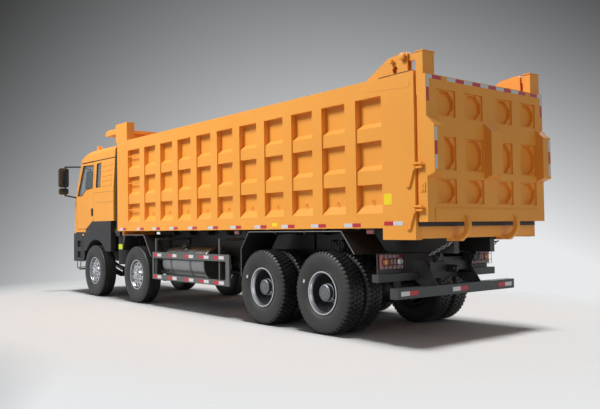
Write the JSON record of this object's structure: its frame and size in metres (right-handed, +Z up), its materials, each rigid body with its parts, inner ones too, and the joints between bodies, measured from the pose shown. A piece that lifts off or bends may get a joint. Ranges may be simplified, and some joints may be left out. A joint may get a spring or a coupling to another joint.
{
  "type": "dump truck",
  "caption": "Heavy tipping truck with a long ribbed load bed, front telescopic hoist, top-hung tailgate, steered front axles and twin-wheel rear bogie under a forward-control cab.",
  "frame": {"origin": "on the ground under the middle of the truck's bounding box", "axes": "+X forward, +Y to the driver's left, +Z up"},
  "size_m": [11.355, 3.1, 3.68],
  "materials": {
    "yellow_paint": "gloss enamel, lightly dusted",
    "chassis_black": "satin black chassis paint",
    "black_plastic": "grained black plastic",
    "clear_glass": "tinted safety glass",
    "lamp_clear": "clear lamp lens",
    "lamp_red": "red lamp lens",
    "lamp_amber": "amber lens",
    "aluminium": "rolled aluminium",
    "guard_grey": "light grey paint",
    "plain_steel": "bare steel",
    "plated_steel": "plated hoist tubes",
    "wheel_silver": "polished discs",
    "wheel_grey": "grey painted rims",
    "tyre_black": "black rubber"
  },
  "bodies": {
    "chassis": {"frame": "chassis_black", "hoist_cradle": "chassis_black", "steer_axles": "chassis_black", "drive_axles": "chassis_black", "springs": "chassis_black", "powertrain": "chassis_black", "tanks": "aluminium", "tank_straps": "plain_steel", "side_guards": "guard_grey", "mudguards": "black_plastic", "rear_bars": "chassis_black", "tail_lamps": "lamp_red", "lock_chains": "plain_steel", "cab_shell": "yellow_paint", "cab_roof": "yellow_paint", "cab_front": "yellow_paint", "cab_glass": "clear_glass", "cab_fenders": "black_plastic", "front_bumper": "black_plastic", "headlamps": "lamp_clear", "mirrors": "black_plastic", "sun_visor": "black_plastic", "beacon": "lamp_amber", "air_intake": "black_plastic", "seats": "black_plastic", "dashboard": "black_plastic"},
    "door_left": {"door_left": "yellow_paint", "door_glass_left": "clear_glass"},
    "door_right": {"door_right": "yellow_paint", "door_glass_right": "clear_glass"},
    "bed": {"bed_floor": "yellow_paint", "bed_side_left": "yellow_paint", "bed_side_right": "yellow_paint", "bed_front_wall": "yellow_paint"},
    "tailgate": {"tailgate": "yellow_paint"},
    "hoist_barrel": {"hoist_barrel": "plain_steel"},
    "hoist_stage_1": {"hoist_stage_1": "plated_steel"},
    "hoist_stage_2": {"hoist_stage_2": "plated_steel"},
    "hoist_stage_3": {"hoist_stage_3": "plated_steel"},
    "hoist_rod": {"hoist_rod": "plated_steel"},
    "knuckle_1_left": {"knuckle_1_left": "chassis_black"},
    "wheel_1_left": {"tyre_1_left": "tyre_black", "rim_1_left": "wheel_silver"},
    "knuckle_1_right": {"knuckle_1_right": "chassis_black"},
    "wheel_1_right": {"tyre_1_right": "tyre_black", "rim_1_right": "wheel_silver"},
    "knuckle_2_left": {"knuckle_2_left": "chassis_black"},
    "wheel_2_left": {"tyre_2_left": "tyre_black", "rim_2_left": "wheel_silver"},
    "knuckle_2_right": {"knuckle_2_right": "chassis_black"},
    "wheel_2_right": {"tyre_2_right": "tyre_black", "rim_2_right": "wheel_silver"},
    "wheels_3_left": {"tyres_3_left": "tyre_black", "rims_3_left": "wheel_grey"},
    "wheels_3_right": {"tyres_3_right": "tyre_black", "rims_3_right": "wheel_grey"},
    "wheels_4_left": {"tyres_4_left": "tyre_black", "rims_4_left": "wheel_grey"},
    "wheels_4_right": {"tyres_4_right": "tyre_black", "rims_4_right": "wheel_grey"}
  },
  "joints": [
    {"name": "steer_1_left", "type": "hinge", "parent": "chassis", "child": "knuckle_1_left", "pos_m": [4.2025, 0.88, 0.562], "axis": [0, 0, 1], "range_deg": [-36, 36]},
    {"name": "spin_1_left", "type": "hinge", "parent": "knuckle_1_left", "child": "wheel_1_left", "pos_m": [4.2025, 1.048, 0.562], "axis": [0, 1, 0], "continuous": true},
    {"name": "steer_1_right", "type": "hinge", "parent": "chassis", "child": "knuckle_1_right", "pos_m": [4.2025, -0.88, 0.562], "axis": [0, 0, 1], "range_deg": [-36, 36]},
    {"name": "spin_1_right", "type": "hinge", "parent": "knuckle_1_right", "child": "wheel_1_right", "pos_m": [4.2025, -1.048, 0.562], "axis": [0, 1, 0], "continuous": true},
    {"name": "steer_2_left", "type": "hinge", "parent": "chassis", "child": "knuckle_2_left", "pos_m": [2.1025, 0.88, 0.562], "axis": [0, 0, 1], "range_deg": [-26, 26]},
    {"name": "spin_2_left", "type": "hinge", "parent": "knuckle_2_left", "child": "wheel_2_left", "pos_m": [2.1025, 1.048, 0.562], "axis": [0, 1, 0], "continuous": true},
    {"name": "steer_2_right", "type": "hinge", "parent": "chassis", "child": "knuckle_2_right", "pos_m": [2.1025, -0.88, 0.562], "axis": [0, 0, 1], "range_deg": [-26, 26]},
    {"name": "spin_2_right", "type": "hinge", "parent": "knuckle_2_right", "child": "wheel_2_right", "pos_m": [2.1025, -1.048, 0.562], "axis": [0, 1, 0], "continuous": true},
    {"name": "spin_3_left", "type": "hinge", "parent": "chassis", "child": "wheels_3_left", "pos_m": [-2.2725, 0.9095, 0.562], "axis": [0, 1, 0], "continuous": true},
    {"name": "spin_3_right", "type": "hinge", "parent": "chassis", "child": "wheels_3_right", "pos_m": [-2.2725, -0.9095, 0.562], "axis": [0, 1, 0], "continuous": true},
    {"name": "spin_4_left", "type": "hinge", "parent": "chassis", "child": "wheels_4_left", "pos_m": [-3.6725, 0.9095, 0.562], "axis": [0, 1, 0], "continuous": true},
    {"name": "spin_4_right", "type": "hinge", "parent": "chassis", "child": "wheels_4_right", "pos_m": [-3.6725, -0.9095, 0.562], "axis": [0, 1, 0], "continuous": true},
    {"name": "door_left_swing", "type": "hinge", "parent": "chassis", "child": "door_left", "pos_m": [5.3375, 1.15, 1.8], "axis": [0, 0, -1], "range_deg": [0, 70]},
    {"name": "door_right_swing", "type": "hinge", "parent": "chassis", "child": "door_right", "pos_m": [5.3375, -1.15, 1.8], "axis": [0, 0, 1], "range_deg": [0, 70]},
    {"name": "bed_tilt", "type": "hinge", "parent": "chassis", "child": "bed", "pos_m": [-5.0025, 0, 1.04], "axis": [0, -1, 0], "range_deg": [0, 48], "deforming": ["lock_chains"]},
    {"name": "gate_swing", "type": "hinge", "parent": "bed", "child": "tailgate", "pos_m": [-5.2205, 0, 3.49], "axis": [0, 1, 0], "range_deg": [0, 75]},
    {"name": "hoist_tilt", "type": "hinge", "parent": "chassis", "child": "hoist_barrel", "pos_m": [3.0875, 0, 1], "axis": [0, -1, 0], "range_deg": [0, 29.52]},
    {"name": "hoist_stage_1_slide", "type": "slide", "parent": "hoist_barrel", "child": "hoist_stage_1", "axis": [0, 0, 1], "range_m": [0, 1.6156]},
    {"name": "hoist_stage_2_slide", "type": "slide", "parent": "hoist_stage_1", "child": "hoist_stage_2", "axis": [0, 0, 1], "range_m": [0, 1.6156]},
    {"name": "hoist_stage_3_slide", "type": "slide", "parent": "hoist_stage_2", "child": "hoist_stage_3", "axis": [0, 0, 1], "range_m": [0, 1.6156]},
    {"name": "hoist_rod_slide", "type": "slide", "parent": "hoist_stage_3", "child": "hoist_rod", "axis": [0, 0, 1], "range_m": [0, 1.6156]}
  ],
  "couplings": [
    {"joint": "steer_1_right", "follows": "steer_1_left", "ratio": 1},
    {"joint": "steer_2_left", "follows": "steer_1_left", "ratio": 0.71},
    {"joint": "steer_2_right", "follows": "steer_1_left", "ratio": 0.71},
    {"joint": "hoist_tilt", "follows": "bed_tilt", "ratio": 0.60873},
    {"joint": "hoist_stage_1_slide", "follows": "bed_tilt", "m_per_rad": 1.9237},
    {"joint": "hoist_stage_2_slide", "follows": "bed_tilt", "m_per_rad": 1.9237},
    {"joint": "hoist_stage_3_slide", "follows": "bed_tilt", "m_per_rad": 1.9237},
    {"joint": "hoist_rod_slide", "follows": "bed_tilt", "m_per_rad": 1.9237}
  ]
}
